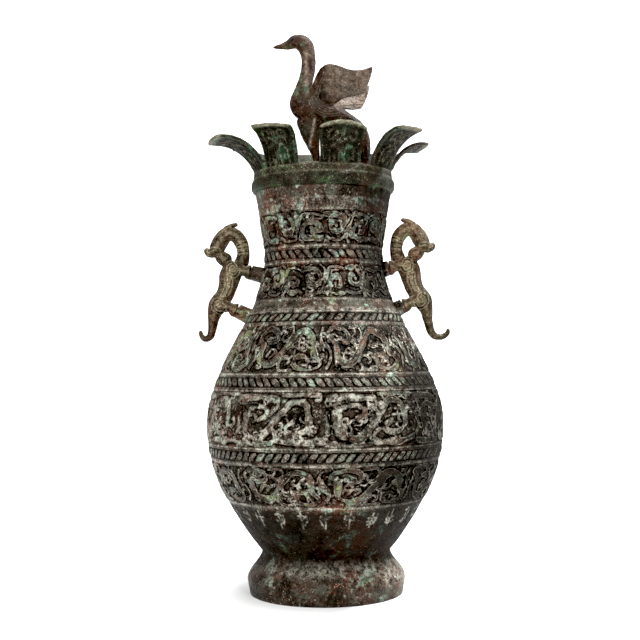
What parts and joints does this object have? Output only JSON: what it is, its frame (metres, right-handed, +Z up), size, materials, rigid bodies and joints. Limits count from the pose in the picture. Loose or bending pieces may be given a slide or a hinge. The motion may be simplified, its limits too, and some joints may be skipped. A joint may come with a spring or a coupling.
{
  "type": "bronze hu vase",
  "caption": "Lidded round wine vessel of cast bronze: hollow foot, relief bands, two beast handles on the neck, and a bird inside the lid's crown of petals.",
  "frame": {"origin": "middle of the foot's underside, on the vessel's axis", "axes": "+Z up, along the vessel's axis; the handles stand on -X and +X; -Y is the front"},
  "size_m": [0.2612, 0.2446, 0.5777],
  "materials": {
    "vessel_bronze": "old cast bronze, dark green-brown patina with pale green crust in the recesses",
    "lid_bronze": "old cast bronze, green-black patina",
    "bird_bronze": "old cast bronze, red-brown patina",
    "handle_bronze": "old cast bronze, warm brown patina rubbed at the edges"
  },
  "bodies": {
    "root": {"vessel": "vessel_bronze", "lid": "lid_bronze", "bird": "bird_bronze", "beast_handle_left": "handle_bronze", "beast_handle_right": "handle_bronze"}
  },
  "joints": []
}
